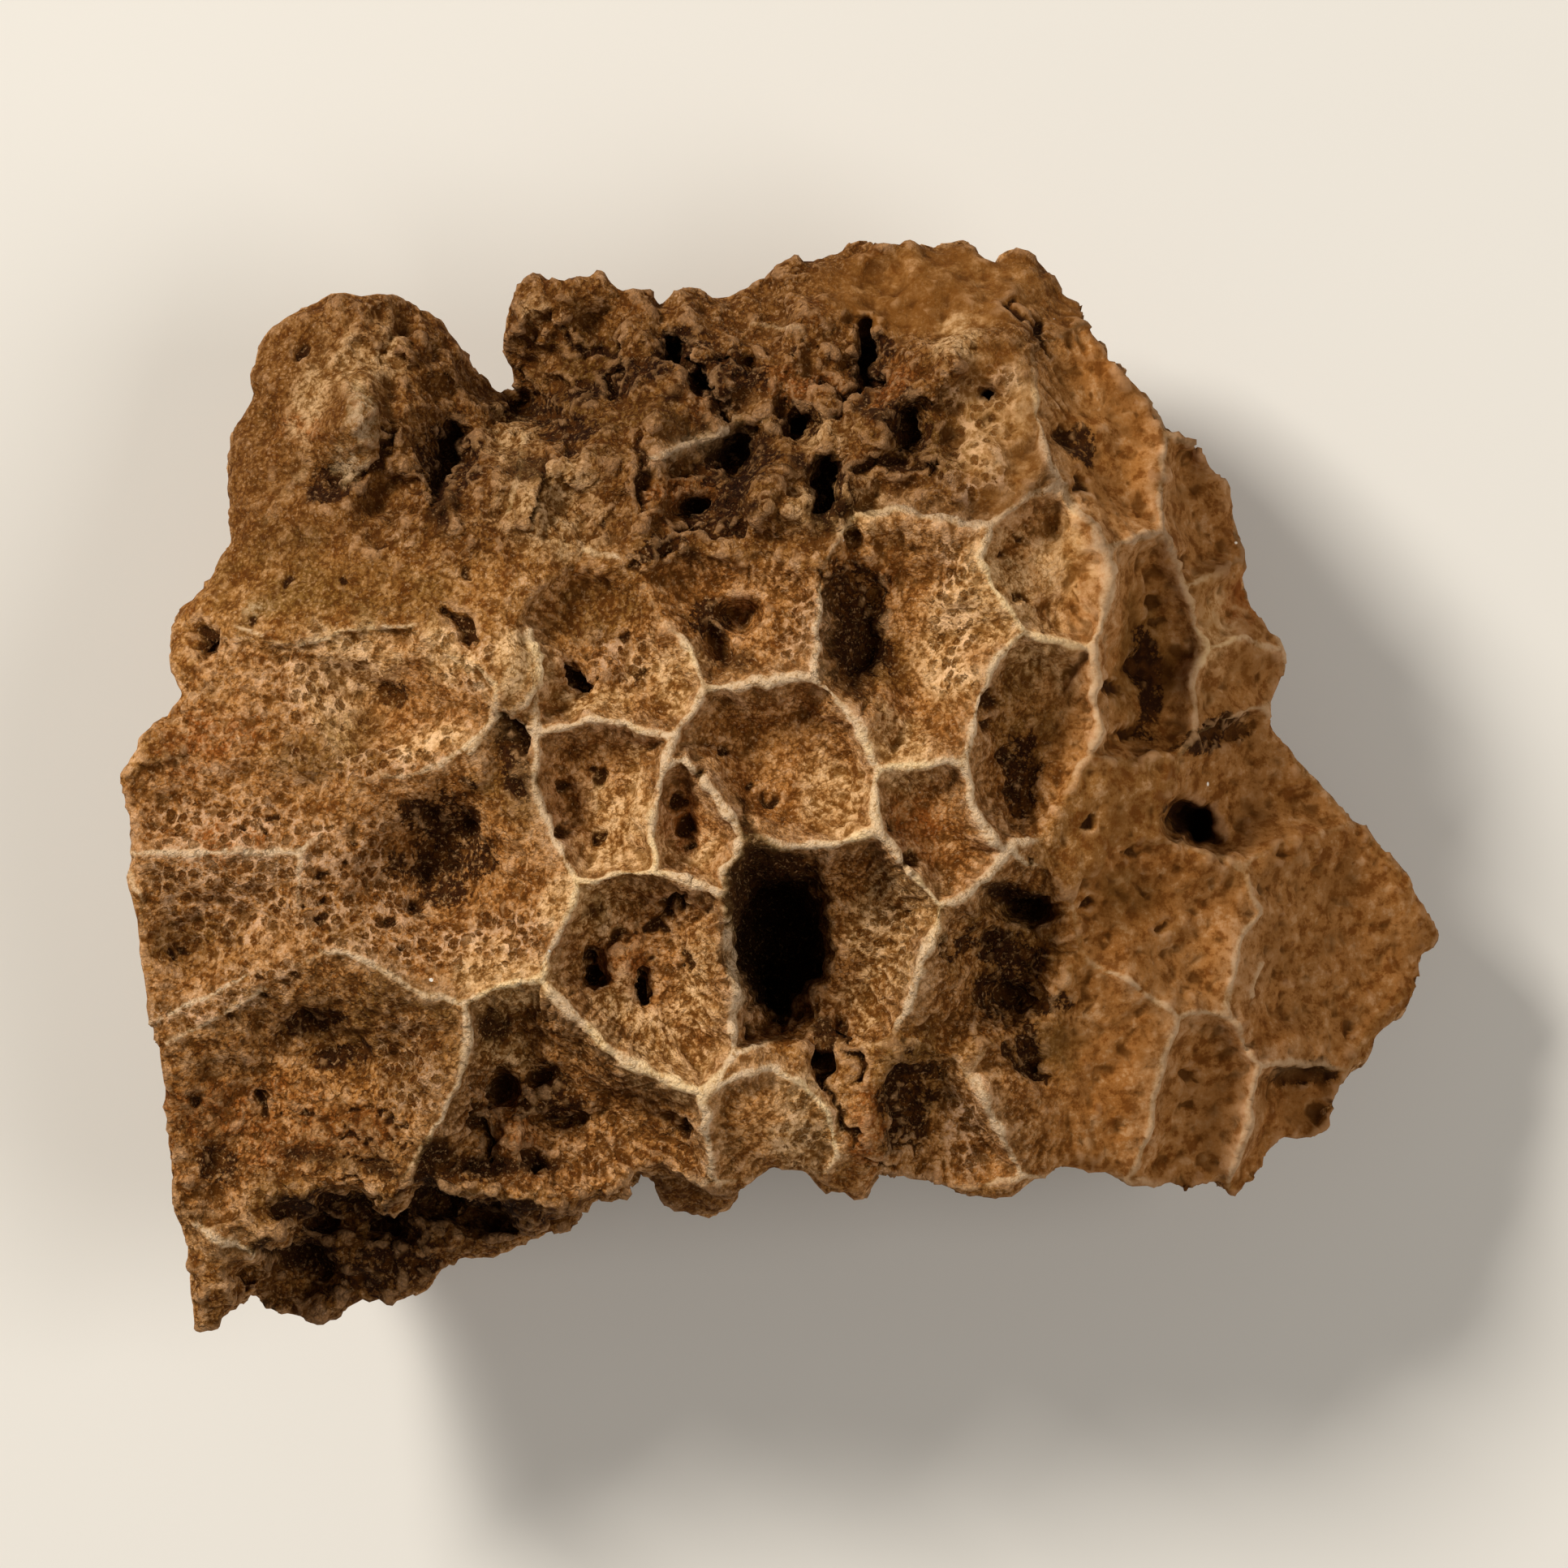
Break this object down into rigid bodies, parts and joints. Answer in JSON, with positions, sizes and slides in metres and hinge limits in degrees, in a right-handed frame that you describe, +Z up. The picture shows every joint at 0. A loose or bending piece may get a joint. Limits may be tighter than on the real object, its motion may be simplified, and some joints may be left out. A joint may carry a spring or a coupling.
{
  "type": "colonial rugose coral fossil",
  "caption": "Broken lump of a fossil colonial coral, its domed top covered in many-sided cups that share thin raised walls.",
  "frame": {"origin": "middle of the lump as seen from above, on the resting flat of its underside", "axes": "+Z up out of the cups, +X to the right and +Y up the picture of a camera that looks straight down"},
  "size_m": [0.1021, 0.0843, 0.037],
  "materials": {
    "coral_stone": null
  },
  "bodies": {
    "root": {"coral_lump": "coral_stone"}
  },
  "joints": []
}
